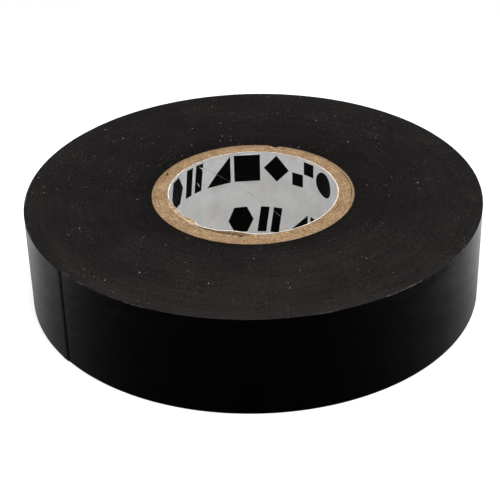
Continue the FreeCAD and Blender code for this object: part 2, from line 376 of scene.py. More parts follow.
def tape_gloss_material():
    """The smooth backing of the strip: deep gloss black with slight print-through."""
    m, k, bsdf, mm = material("black_tape_backing", IOR=1.5)
    r, a, x, y, z = polar(k, mm)
    arc = k.math("MULTIPLY", a, 264.0)
    ca = k.math("MULTIPLY", k.math("COSINE", k.math("MULTIPLY", a, 2 * math.pi)), 42.0)
    sa = k.math("MULTIPLY", k.math("SINE", k.math("MULTIPLY", a, 2 * math.pi)), 42.0)
    wavy = k.noise(k.join(k.math("MULTIPLY", ca, 0.10), k.math("MULTIPLY", sa, 0.10), k.math("MULTIPLY", z, 0.22)), 1.0, 3.0, 0.5)
    fine = k.noise(k.join(ca, sa, k.math("MULTIPLY", z, 1.0)), 2.4, 3.0, 0.6)
    smear = k.noise(k.join(k.math("MULTIPLY", ca, 0.35), k.math("MULTIPLY", sa, 0.35), k.math("MULTIPLY", z, 0.05)), 1.0, 2.0, 0.5)
    col = k.ramp(fine, [(0.25, (0.0008, 0.0007, 0.0007)), (0.75, (0.0016, 0.0014, 0.0014))])
    cell = k.add("ShaderNodeTexVoronoi", inputs={"Vector": mm, "Scale": 0.42, "Randomness": 1.0}, feature="F1")
    near = k.math("LESS_THAN", cell.outputs["Distance"], 0.045)
    keep = k.math("GREATER_THAN", k.xyz(cell.outputs["Color"])[0], 0.90)
    col = k.mix(k.math("MULTIPLY", near, keep), col, (0.11, 0.10, 0.09))
    scuff_and_glint, soft = rim_scuff_and_glint(k, mm)
    # pale rim scuffs, which also stand in for painted highlight along the rim
    col = k.mix(scuff_and_glint, col, (0.085, 0.079, 0.074))
    k.feed(bsdf.inputs["Base Color"], col)
    rough = k.math("ADD", k.remap(fine, 0.3, 0.7, 0.12, 0.17), k.remap(smear, 0.35, 0.7, 0.0, 0.06))
    rough = k.math("ADD", rough, k.math("MULTIPLY", soft, 0.35))
    k.feed(bsdf.inputs["Roughness"], rough)
    n = k.bump(wavy, 0.5, 0.00020)
    k.feed(bsdf.inputs["Normal"], k.bump(fine, 0.10, 0.000010, n))
    return m


def tape_adhesive_material():
    """The rubber adhesive side of the strip, and what it leaves on the turn below."""
    m, k, bsdf, mm = material("black_tape_adhesive", IOR=1.5)
    n1 = k.noise(mm, 1.3, 3.0, 0.6)
    n2 = k.noise(mm, 9.0, 2.0, 0.6)
    k.feed(bsdf.inputs["Base Color"], k.ramp(n1, [(0.3, (0.006, 0.0056, 0.0052)), (0.7, (0.013, 0.012, 0.011))]))
    k.feed(bsdf.inputs["Roughness"], k.remap(n1, 0.3, 0.7, 0.26, 0.42))
    h = k.math("ADD", k.math("MULTIPLY", n1, 0.6), k.math("MULTIPLY", n2, 0.4))
    k.feed(bsdf.inputs["Normal"], k.bump(h, 0.4, 0.00003))
    return m


def kraft_material(name, tint=1.0, wall=False):
    """Kraft board: brown pulp with light and dark fibres; the slit end is rougher."""
    m, k, bsdf, mm = material(name, Roughness=0.9, IOR=1.4)
    bsdf.inputs["Specular IOR Level"].default_value = 0.25
    r, a, x, y, z = polar(k, mm)
    ang = k.math("MULTIPLY", a, 2 * math.pi)
    ca = k.math("COSINE", ang)
    sa = k.math("SINE", ang)
    if wall:
        fib = k.join(k.math("MULTIPLY", ca, 22.0), k.math("MULTIPLY", sa, 22.0), k.math("MULTIPLY", z, 4.5))
    else:
        fib = k.join(k.math("MULTIPLY", r, 5.2), k.math("MULTIPLY", ca, 46.0), k.math("MULTIPLY", sa, 46.0))
    fibre = k.noise(fib, 1.0, 3.0, 0.62)
    fleck = k.noise(mm, 5.5, 3.0, 0.7)
    broad = k.noise(mm, 0.55, 2.0, 0.5)
    v = k.math("ADD", k.math("MULTIPLY", fibre, 0.55), k.math("MULTIPLY", fleck, 0.45))
    v = k.math("ADD", v, k.math("MULTIPLY", k.math("SUBTRACT", broad, 0.5), 0.35))
    t = tint
    v = k.math("ADD", v, k.math("MULTIPLY", k.math("SUBTRACT", k.noise(mm, 2.4, 2.0, 0.6), 0.5), 0.55))
    col = k.ramp(k.remap(v, 0.24, 0.76, 0.0, 1.0),
                 [(0.0, (0.150 * t, 0.085 * t, 0.040 * t)), (0.30, (0.285 * t, 0.178 * t, 0.092 * t)),
                  (0.55, (0.385 * t, 0.252 * t, 0.138 * t)), (0.78, (0.50 * t, 0.345 * t, 0.205 * t)),
                  (1.0, (0.70 * t, 0.54 * t, 0.38 * t))])
    cell = k.add("ShaderNodeTexVoronoi", inputs={"Vector": mm, "Scale": 1.9, "Randomness": 1.0}, feature="F1")
    near = k.math("LESS_THAN", k.math("ADD", cell.outputs["Distance"], k.math("MULTIPLY", fleck, 0.12)), 0.16)
    keep = k.math("GREATER_THAN", k.xyz(cell.outputs["Color"])[0], 0.86)
    col = k.mix(k.math("MULTIPLY", k.math("MULTIPLY", near, keep), 0.65), col, (0.12, 0.068, 0.034))
    if not wall:
        # the outermost ply is darker next to the tape: a little adhesive stain all round, and painted shade that is
        # deeper on the far side
        side = k.remap(y, -9.0, 14.0, 0.10, 0.50)
        adhesive_stain_and_shade = k.math("MULTIPLY", k.remap(r, 17.55, 18.75, 0.0, 1.0), k.math("MULTIPLY", side, k.remap(broad, 0.3, 0.7, 0.6, 1.25)))
        col = k.mix(adhesive_stain_and_shade, col, (0.085, 0.048, 0.024))
        # the torn stretch of the bore edge: loose pale pulp, with painted shade along a crack in it
        rag = k.noise(mm, 1.1, 3.0, 0.7)
        deg = k.math("MODULO", k.math("ADD", k.math("MULTIPLY", a, 360.0), 360.0), 360.0)
        tear = k.math("MULTIPLY", k.remap(deg, 186.0, 194.0, 0.0, 1.0), k.remap(deg, 226.0, 231.0, 1.0, 0.0))
        edge = k.math("MULTIPLY", tear, k.remap(k.math("ADD", r, k.math("MULTIPLY", rag, 0.5)), 16.05, 16.50, 1.0, 0.0))
        pulp = k.ramp(rag, [(0.36, (0.20, 0.115, 0.055)), (0.47, (0.42, 0.29, 0.16)), (0.60, (0.66, 0.55, 0.40))])
        col = k.mix(k.math("MULTIPLY", edge, 0.75), col, pulp)
        # painted shade: a dark line where the torn board has split
        line = k.math("ABSOLUTE", k.math("SUBTRACT", k.math("ADD", r, k.math("MULTIPLY", k.math("SUBTRACT", rag, 0.5), 0.7)), 16.12))
        crack_shade = k.math("MULTIPLY", k.math("MULTIPLY", k.remap(deg, 203.0, 208.0, 0.0, 1.0), k.remap(deg, 222.0, 227.0, 1.0, 0.0)),
                       k.remap(line, 0.04, 0.13, 1.0, 0.0))
        col = k.mix(k.math("MULTIPLY", crack_shade, 0.7), col, (0.10, 0.055, 0.028))
        # painted shade in the gap behind the loose liner
        gap_shade = k.math("MULTIPLY", k.math("MULTIPLY", k.remap(deg, 229.0, 236.0, 0.0, 1.0), k.remap(deg, 262.0, 268.0, 1.0, 0.0)),
                     k.remap(k.math("ADD", r, k.math("MULTIPLY", rag, 0.20)), 15.98, 16.14, 1.0, 0.0))
        col = k.mix(k.math("MULTIPLY", gap_shade, 0.92), col, (0.040, 0.024, 0.014))
        sx = k.math("SUBTRACT", x, 15.98 * math.cos(math.radians(261.6)))
        sy = k.math("SUBTRACT", y, 15.98 * math.sin(math.radians(261.6)))
        spot = k.math("SQRT", k.math("ADD", k.math("MULTIPLY", sx, sx), k.math("MULTIPLY", sy, sy)))
        spot = k.remap(k.math("ADD", spot, k.math("MULTIPLY", rag, 0.25)), 0.24, 0.42, 1.0, 0.0)
        col = k.mix(k.math("MULTIPLY", spot, 0.8), col, (0.05, 0.028, 0.014))
    k.feed(bsdf.inputs["Base Color"], col)
    k.feed(bsdf.inputs["Roughness"], k.remap(fleck, 0.3, 0.7, 0.82, 0.96))
    k.feed(bsdf.inputs["Normal"], k.bump(v, 0.55, 0.00010))
    return m


def paper_material(name, colour, rough, ink=False):
    """Coated liner paper, bare or under printing ink."""
    m, k, bsdf, mm = material(name, IOR=1.45)
    bsdf.inputs["Specular IOR Level"].default_value = 0.06 if ink else 0.3
    n1 = k.noise(mm, 2.2, 3.0, 0.6)
    n2 = k.noise(mm, 11.0, 2.0, 0.6)
    c = colour
    if ink:
        # pinholes and thin places where the print rubs off
        base = k.ramp(k.math("ADD", k.math("MULTIPLY", n1, 0.6), k.math("MULTIPLY", n2, 0.4)),
                      [(0.30, (c[0] * 0.8, c[1] * 0.8, c[2] * 0.8)), (0.64, (c[0] * 1.6, c[1] * 1.6, c[2] * 1.6)),
                       (0.70, (0.09, 0.09, 0.09))])
    else:
        base = k.ramp(k.math("ADD", k.math("MULTIPLY", n1, 0.6), k.math("MULTIPLY", n2, 0.4)),
                      [(0.3, (c[0] * 0.93, c[1] * 0.925, c[2] * 0.91)), (0.6, c)])
        r, a, x, y, z = polar(k, mm)
        # handling grime, towards both rims
        low = k.remap(z, 0.0, 3.0, 0.22, 0.0)
        high = k.remap(z, 18.2, 19.0, 0.0, 0.10)
        soil = k.math("MULTIPLY", k.math("ADD", low, high), k.remap(n1, 0.3, 0.7, 0.2, 1.0), clamp=True)
        base = k.mix(soil, base, (0.42, 0.36, 0.29))
        tone = k.noise(mm, 0.22, 3.0, 0.6)
        base = k.mix(k.remap(tone, 0.42, 0.66, 0.0, 0.55), base, (c[0] * 1.14, c[1] * 1.15, c[2] * 1.17))
        base = k.mix(k.remap(tone, 0.50, 0.30, 0.0, 0.50), base, (c[0] * 0.86, c[1] * 0.84, c[2] * 0.80))
        # long pulp fibres show faintly through the coating
        hair = k.noise(k.join(k.math("MULTIPLY", x, 1.2), k.math("MULTIPLY", y, 1.2), k.math("MULTIPLY", z, 7.0)), 1.0, 3.0, 0.7)
        base = k.mix(k.remap(hair, 0.58, 0.72, 0.0, 0.28), base, (c[0] * 0.72, c[1] * 0.70, c[2] * 0.66))
    k.feed(bsdf.inputs["Base Color"], base)
    k.feed(bsdf.inputs["Roughness"], k.remap(n1, 0.3, 0.7, rough - 0.05, rough + 0.07))
    k.feed(bsdf.inputs["Normal"], k.bump(n2, 0.25, 0.00003))
    return m


def torn_material():
    """The liner's torn edge: white paper fibre, in places browned by the board behind."""
    m, k, bsdf, mm = material("liner_paper_torn_edge", Roughness=0.9, IOR=1.4)
    bsdf.inputs["Specular IOR Level"].default_value = 0.1
    r, a, x, y, z = polar(k, mm)
    deg = k.math("MODULO", k.math("ADD", k.math("MULTIPLY", a, 360.0), 360.0), 360.0)
    brown = k.math("MULTIPLY", k.remap(deg, 186.0, 193.0, 0.0, 1.0), k.remap(deg, 224.0, 230.0, 1.0, 0.0))
    n1 = k.noise(mm, 0.9, 3.0, 0.65)
    n2 = k.noise(mm, 5.0, 3.0, 0.65)
    v = k.math("ADD", k.math("MULTIPLY", n1, 0.55), k.math("MULTIPLY", n2, 0.45))
    v = k.math("SUBTRACT", v, k.math("MULTIPLY", brown, 0.10))
    k.feed(bsdf.inputs["Base Color"], k.ramp(v, [(0.30, (0.30, 0.20, 0.115)), (0.40, (0.55, 0.43, 0.29)), (0.48, (0.80, 0.76, 0.70)),
                                                 (0.66, (0.90, 0.895, 0.88))]))
    k.feed(bsdf.inputs["Normal"], k.bump(n2, 0.5, 0.00006))
    return m


MAT_FACE = tape_face_material()
MAT_GLOSS = tape_gloss_material()
MAT_ADHESIVE = tape_adhesive_material()
MAT_KRAFT = kraft_material("kraft_slit_end", 0.83)
MAT_KRAFT_WALL = kraft_material("kraft_ply_face", 0.76, wall=True)
MAT_PAPER = paper_material("liner_paper_face", (0.755, 0.75, 0.745), 0.42)
MAT_TORN = torn_material()
MAT_INK = paper_material("liner_print_black", (0.0022, 0.0021, 0.0022), 0.5, ink=True)


# ---------------------------------------------------------------------------
# The winding's outline: two arcs that meet tangentially, one pitch in per turn.
# phi runs clockwise from the strip's cut end.
# ---------------------------------------------------------------------------
def world_angle(phi):
    return np.radians(END_ANGLE - np.asarray(phi, dtype=float))


def arc_xy(phi, centre, radius):
    a = world_angle(phi)
    return np.stack([centre[0] + radius * np.cos(a), centre[1] + radius * np.sin(a)], -1)


def outline(phi, inset=0.0):
    """Outline of the bonded turns, inset mm inside it, as radius about the origin."""
    phi = np.asarray(phi, dtype=float)
    a = world_angle(phi)
    lower = phi < 180.0
    cx = np.where(lower, C1[0], C2[0])
    cy = np.where(lower, C1[1], C2[1])
    rad = np.where(lower, RA - PITCH, RA - 1.5 * PITCH) - inset
    x = cx + rad * np.cos(a)
    y = cy + rad * np.sin(a)
    return np.hypot(x, y), np.arctan2(y, x)


# ---------------------------------------------------------------------------
# tape_pack: every turn of the strip as a ridge of its own on the slit faces
# ---------------------------------------------------------------------------
def build_pack():
    cols = 168
    phis = np.linspace(0.0, 360.0, cols + 1)
    radius, angle = outline(phis)
    turns = 170                          # whole boundaries that clear the core everywhere
    ca, sa = np.cos(angle), np.sin(angle)

    def face_height(rr, s, aa, crest):
        """How far below the nominal face the cut lies, in mm."""
        lathe = 0.010 * (noise1(rr / 0.62, 11) + 1) + 0.006 * (noise1(rr / 0.21, 12) + 1)
        along = 0.0055 * (noise1(s * 9.0, 13) + 1) + 0.004 * (noise1(s * 41.0, 14) + 1)
        bow = 0.012 * (noise2(np.cos(aa) * rr / 17.0 + 5, np.sin(aa) * rr / 17.0 + 5, 15) + 1)
        return lathe + along + bow + np.where(crest, 0.0, 0.013)

    verts, faces, index = [], [], []

    def one_side(top, half_steps):
        """Vertices (row, column) of one face; a row is a groove or a crest of a turn."""
        base = len(verts)
        step = 0.5 if half_steps else 1.0
        rows = int(turns / step) + 1     # 0 .. turns inclusive
        for i in range(rows):
            n = i * step
            rr = radius - PITCH * n
            s = n + phis / 360.0
            crest = np.full(len(phis), (i % 2 == 1))
            dip = face_height(rr, s + (0 if top else 500), angle, crest)
            if i == 0:
                dip = dip + 0.012
            z = H - dip if top else dip
            verts.extend(np.stack([rr * ca, rr * sa, z], -1).tolist())
        nv = cols + 1
        per = int(round(1 / step))        # column 360 of row i is column 0 of row i + per
        # the circle against the core
        ring = len(verts)
        dip = face_height(np.full(cols, R_CORE_OUT), phis[:-1] / 360.0, angle[:-1], np.full(cols, False)) + 0.02
        z = H - dip if top else dip
        verts.extend(np.stack([R_CORE_OUT * ca[:-1], R_CORE_OUT * sa[:-1], z], -1).tolist())

        def vid(i, c):
            if c == cols and i + per < rows:
                return base + (i + per) * nv
            return base + i * nv + c

        for i in range(rows - 1):
            for c in range(cols):
                faces.append([vid(i, c), vid(i, c + 1), vid(i + 1, c + 1), vid(i + 1, c)])
                index.append(0)
        last = rows - 1
        for c in range(cols):
            f = [vid(last, c), vid(last, c + 1), ring + (c + 1) % cols, ring + c]
            if c == 0:
                # the strip starts here, so the innermost boundary steps in by one turn
                f += [vid(i, cols) for i in range(last, last - per, -1)]
            faces.append(f)
            index.append(0)
        return base, per, ring, vid

    t = one_side(True, True)
    b = one_side(False, False)
    return verts, faces, index, t, b, cols


def finish_pack():
    verts, faces, index, t, b, cols = build_pack()
    tb, tper, tring, tvid = t
    bb, bper, bring, bvid = b
    # Outer wall: from the step at column 0 round to column 360.
    walls = []
    zs = [0.25, 0.5, 0.75]
    mid = len(verts)
    for c in range(cols + 1):
        top = np.array(verts[tvid(0, c)])
        bot = np.array(verts[bvid(0, c)])
        for f in zs:
            verts.append((bot * (1 - f) + top * f).tolist())
    def wall_col(c):
        topv = tvid(0, c)
        botv = bvid(0, c)
        return [botv] + [mid + c * len(zs) + i for i in range(len(zs))] + [topv]
    prev = wall_col(0)
    first = prev
    for c in range(1, cols + 1):
        cur = wall_col(c)
        for i in range(len(cur) - 1):
            faces.append([prev[i], prev[i + 1], cur[i + 1], cur[i]])
            index.append(1)
        prev = cur
    # the step face, one film thick, where the turn above ends
    stepf = [first[0], first[1], first[2], first[3], first[4]]
    half = [tvid(1, 0)] if tper == 2 else []
    faces.append(stepf + half + [prev[4], prev[3], prev[2], prev[1], prev[0]])
    index.append(1)
    # Inner wall against the core
    for c in range(cols):
        c2 = (c + 1) % cols
        faces.append([bring + c, bring + c2, tring + c2, tring + c])
        index.append(1)
    return verts, faces, index


# ---------------------------------------------------------------------------
# A band of film or wrap: an arc of constant radius about one centre
# ---------------------------------------------------------------------------
def rim_dip(theta):
    """Small unevenness of the slit edge, in mm, as a function of the world angle."""
    t = np.degrees(theta) % 360.0
    d = 0.006 * (noise1(t / 3.0, 31, 120) + 1) + 0.010 * (noise1(t / 15.0, 32, 24) + 1)
    d = d + 0.0035 * (noise1(t / 0.75, 33, 480) + 1)
    return d


def rim_nicks(theta):
    """Handling nicks on the outer rim: (outward, downward) push in mm."""
    t = np.degrees(theta) % 360.0
    out = np.zeros_like(t)
    down = np.zeros_like(t)
    rng = np.random.RandomState(7)
    spots = [(300 + 9 * rng.rand(), 0.5) for _ in range(2)]
    spots += [(309 + 21 * rng.rand(), 1.0) for _ in range(13)]
    spots += [(360 * rng.rand(), 0.6) for _ in range(26)]
    for centre, size in spots:
        w = 0.18 + 0.45 * rng.rand()
        a = size * (0.25 + 0.75 * rng.rand())
        g = np.exp(-(wrap_deg(t - centre) / w) ** 2)
        out = out + 0.045 * a * g
        down = down + 0.075 * a * g
    return out, down


OUT_Z = np.concatenate([[0.035, 0.12], np.linspace(0.6, H - 0.6, 13), [H - 0.12, H - 0.035]])
IN_Z = np.linspace(0.03, H - 0.03, 7)


def film_band(phi0, phi1, seg, centre, r_out, thick, lift=None, slant=0.0, caps=(True, True), tip=0):
    """A closed band of film from phi0 to phi1 (clockwise). Faces: 0 slit edge, 1 backing, 2 adhesive."""
    n = max(2, int(math.ceil((phi1 - phi0) / seg))) + 1
    phis = np.linspace(phi0, phi1, n)
    m_out = len(OUT_Z)
    m_in = len(IN_Z)
    verts = []
    for j, p in enumerate(phis):
        a = float(world_angle(p))
        ro = r_out + (float(lift(p)) if lift else 0.0)
        ri = ro - thick
        dip = float(rim_dip(a))
        no, nd = rim_nicks(np.array([a]))
        no, nd = float(no[0]), float(nd[0])
        # a slanted end: the outer skin stops short of the inner one
        po = p
        if slant and p < phi0 + slant:
            po = phi0 + slant
        a_o = float(world_angle(max(po, p)))
        ring = []
        for z in OUT_Z:
            edge_t = math.exp(-((H - z) / 0.22) ** 2)
            edge_b = math.exp(-(z / 0.22) ** 2)
            zz = z - (dip + nd) * edge_t + 0.5 * dip * edge_b
            rr = ro + no * edge_t * 1.0
            if z > H - 0.04 or z < 0.04:
                rr -= 0.006
            ring.append((rr, zz, a_o))
        # top slit face: outer corner, middle, inner corner
        ztop = H - dip
        ring.append((ro - 0.030 + no * 0.5, ztop - nd * 0.8, a_o))
        ring.append((ri + 0.012, ztop - 0.006, a))
        for z in IN_Z[::-1]:
            zz = z - (dip if z > H / 2 else 0.0)
            ring.append((ri, zz, a))
        ring.append((ri + 0.012, 0.006 + 0.5 * dip, a))
        ring.append((ro - 0.030, 0.0 + 0.5 * dip, a_o))
        for rr, zz, aa in ring:
            verts.append((centre[0] + rr * math.cos(aa), centre[1] + rr * math.sin(aa), zz))
    per = len(ring)
    faces, index = [], []
    kind = []
    for i in range(per):
        if i < m_out - 1:
            kind.append(1)
        elif i < m_out + 1 + 1:
            kind.append(0)
        elif i < m_out + 2 + m_in - 1:
            kind.append(2)
        else:
            kind.append(0)
    for j in range(n - 1):
        for i in range(per):
            i2 = (i + 1) % per
            faces.append([j * per + i, j * per + i2, (j + 1) * per + i2, (j + 1) * per + i])
            index.append(kind[i])
    # end caps as strips between the outer and inner chains
    def cap(j, flip):
        o = [j * per + i for i in range(m_out)]
        o_top = j * per + m_out
        i_top = j * per + m_out + 1
        inner = [j * per + m_out + 2 + i for i in range(m_in)]          # from top to bottom
        i_bot = j * per + m_out + 2 + m_in
        o_bot = j * per + m_out + 3 + m_in
        loop = o + [o_top, i_top] + inner + [i_bot, o_bot]
        poly = []
        up = inner[::-1]
        # ladder of quads and triangles between o (bottom to top) and up (bottom to top)
        a, b = 0, 0
        while a < len(o) - 1 or b < len(up) - 1:
            za = OUT_Z[a + 1] if a < len(o) - 1 else 1e9
            zb = IN_Z[b + 1] if b < len(up) - 1 else 1e9
            if za <= zb:
                poly.append([o[a], up[b], o[a + 1]])
                a += 1
            else:
                poly.append([o[a], up[b], up[b + 1]])
                b += 1
        poly.append([o[-1], up[-1], i_top, o_top])
        poly.append([o[0], o_bot, i_bot, up[0]])
        for f in poly:
            faces.append(f[::-1] if flip else f)
            index.append(0 if flip else tip)
    if caps[0]:
        cap(0, False)
    if caps[1]:
        cap(n - 1, True)
    return np.array(verts), faces, index, n


# ---------------------------------------------------------------------------
# Pieces
# ---------------------------------------------------------------------------
TAPE_MATS = [MAT_FACE, MAT_GLOSS, MAT_ADHESIVE]


def fix_normals(ob):
    """Make all faces of a closed mesh point outwards."""
    import bmesh
    bm = bmesh.new()
    bm.from_mesh(ob.data)
    bmesh.ops.recalc_face_normals(bm, faces=bm.faces[:])
    open_edges = sum(1 for e in bm.edges if len(e.link_faces) != 2)
    vol = bm.calc_volume(signed=True)
    if vol < 0:
        bmesh.ops.reverse_faces(bm, faces=bm.faces[:])
        vol = -vol
    tris = sum(len(f.verts) - 2 for f in bm.faces)
    bm.to_mesh(ob.data)
    bm.free()
    print("%-22s tris %7d  open or odd edges %d  volume %.3f cm3" % (ob.name, tris, open_edges, vol * 1e6))


def weld(ob, dist=1e-7):
    import bmesh
    bm = bmesh.new()
    bm.from_mesh(ob.data)
    bmesh.ops.remove_doubles(bm, verts=bm.verts[:], dist=dist)
    loose = [v for v in bm.verts if not v.link_faces]
    bmesh.ops.delete(bm, geom=loose, context="VERTS")
    bm.to_mesh(ob.data)
    bm.free()


pv, pf, pi = finish_pack()
pack = build("tape_pack_wound", pv, pf, TAPE_MATS, pi, sharp=None)
weld(pack)
fix_normals(pack)
pack.data.set_sharp_from_angle(angle=math.radians(50))
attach(pack, "roll")
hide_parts("tape_pack")


# outer_wrap: the last turn, from the root of the free end round to the cut end
BLEND_DEG = math.degrees(1.45 / RA)


def hinge_phi(k):
    return (LINKS + 1 - k) * LINK_DEG - GAP_DEG / 2.0


ROOT_PHI = hinge_phi(1) + BLEND_DEG


def build_wrap():
    # the two arcs meet tangentially at 180 degrees and share that section
    va, fa, ia, na = film_band(ROOT_PHI, 180.0, 0.6, C1, RA, PITCH, caps=(True, False))
    vb, fb, ib, nb = film_band(180.0, 360.0, 0.6, C2, RA - PITCH / 2.0, PITCH, caps=(False, True))
    base = len(va)
    verts = np.vstack([va, vb])
    faces = fa + [[v + base for v in f] for f in fb]
    return verts, faces, ia + ib


wv, wf, wi = build_wrap()
wrap = build("outer_wrap_turn", wv, wf, TAPE_MATS, wi, sharp=None)
weld(wrap, 2e-6)
fix_normals(wrap)
wrap.data.set_sharp_from_angle(angle=math.radians(40))
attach(wrap, "roll")
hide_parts("outer_wrap")


# free end: thirteen lengths of film that meet half-way along the links, so that every
# hinge lies inside one length
def end_lift(phi):
    """The cut end stands a little proud where its adhesive has let go, in mm."""
    arc = math.radians(phi) * RA
    lift = 0.060 * math.exp(-(arc / 2.1) ** 1.5) + 0.008 * math.exp(-((arc - 7.0) / 3.0) ** 2)
    # and the knife has pressed its very edge back down
    return lift - 0.080 * math.exp(-(arc / 0.50) ** 2)


for k in range(1, LINKS + 2):
    tip = (LINKS + 0.5 - k) * LINK_DEG if k <= LINKS else 0.0
    root = ROOT_PHI if k == 1 else (LINKS + 1.5 - k) * LINK_DEG
    v, f, i, n = film_band(tip, root, 0.2 if k <= LINKS else 0.08, C1, RA, FILM, lift=end_lift,
                           slant=0.44 if k > LINKS else 0.0, tip=1 if k > LINKS else 0)
    ob = build("free_end_film_%d" % k, v, f, TAPE_MATS, i, sharp=None)
    fix_normals(ob)
    ob.data.set_sharp_from_angle(angle=math.radians(40))
    if k <= LINKS:
        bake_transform(ob)
        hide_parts("free_end_%d" % k)
    else:
        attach(ob, "tail_%d" % LINKS)


# ---------------------------------------------------------------------------
# Core: five kraft plies and the printed liner, each a butt-seamed spiral strip
# ---------------------------------------------------------------------------
def seam_angle(node, z):
    return SEAM_TURN[node] + (np.asarray(z, dtype=float) + 3.0) / SEAM_LEAD * 360.0


TORN = [(178, 0.0), (187, 0.07), (194.5, 0.18), (202, 0.54), (206, 0.55), (213, 0.38), (217, 0.62), (220.6, 1.0), (225, 0.92), (229, 0.20),
        (233.5, 0.09), (238, 0.20), (244.5, 0.42), (250, 0.74), (254.7, 0.96), (260, 0.96), (265.5, 0.55), (270.5, 0.26), (276, 0.06), (283, 0.0)]


def torn(theta_deg):
    """Depth of the torn stretch of the bore's upper edge at each angle, in mm."""
    t = np.asarray(theta_deg, dtype=float) % 360.0
    d = np.interp(t, [p[0] for p in TORN], [p[1] for p in TORN], left=0.0, right=0.0)
    ragged = 0.5 * noise1(t / 1.15, 201, 313) + 0.5 * noise1(t / 2.9, 202, 124)
    return np.clip(d * (1.0 + 0.14 * ragged) + 0.05 * ragged * smoothstep(d, 0.03, 0.3), 0, None)


def bulge(theta_deg, z):
    """How far the torn bore edge leans inwards, in mm: the board's share and the loose liner's."""
    t = np.asarray(theta_deg, dtype=float) % 360.0
    d = H - np.asarray(z, dtype=float)
    total = 0.80 * torn(t)
    free = 0.42 * smoothstep(t, 229.0, 238.0) * (1 - smoothstep(t, 264.0, 272.0))
    return total * (1 - free) * np.exp(-np.clip(d, 0, None) / 0.95), total * free * np.exp(-np.clip(d, 0, None) / 1.6)


def groove(rb, theta_deg):
    """Depth of the line between two plies at the slit end, in mm."""
    seed = int(round(rb * 10))
    t = np.asarray(theta_deg, dtype=float) % 360.0
    g = 0.035 + 0.030 * (noise1(t / 2.4, seed, 150) + 1) + 0.13 * np.clip(noise1(t / 12.0, seed + 3, 30), 0, 1) ** 2
    if abs(rb - 18.15) < 0.01:
        g = g + 0.22 * smoothstep(np.abs(wrap_deg(t - 8.0)), 24, 12)
    if abs(rb - 17.55) < 0.01:
        g = g + 0.38 * np.exp(-(wrap_deg(t - 158.0) / 7.5) ** 2) + 0.10 * smoothstep(np.abs(wrap_deg(t - 100.0)), 38, 20)
    if abs(rb - 18.75) < 0.01:
        g = g + 0.20 * smoothstep(np.abs(wrap_deg(t - 8.0)), 30, 14) + 0.06
    if abs(rb - 16.95) < 0.01:
        g = g + 0.08 * smoothstep(np.abs(wrap_deg(t - 60.0)), 40, 20)
    return g


